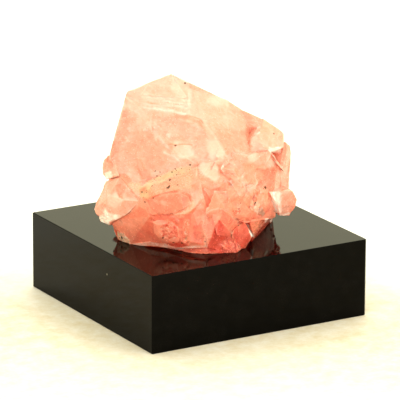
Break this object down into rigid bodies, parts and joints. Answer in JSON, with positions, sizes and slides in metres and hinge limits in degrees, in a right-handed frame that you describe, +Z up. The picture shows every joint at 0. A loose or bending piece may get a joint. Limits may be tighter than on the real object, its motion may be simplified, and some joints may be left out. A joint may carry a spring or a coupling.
{
  "type": "pink fluorite specimen on a display block",
  "caption": "Small pink fluorite crystal cluster, a large cleaved crystal over broken intergrown ones, standing on a square polished black display block.",
  "frame": {"origin": "centre of the display block's underside, on the surface it stands on", "axes": "+Z up, +X and +Y square to the block's sides; the crystal faces the corner between -X and -Y"},
  "size_m": [0.04, 0.04, 0.0381],
  "materials": {
    "fluorite": "translucent pink fluorite, glassy on its cleavage faces and milky inside",
    "polished_black": "polished black acrylic with sharp edges"
  },
  "bodies": {
    "root": {"fluorite_cluster": "fluorite", "display_block": "polished_black"}
  },
  "joints": []
}
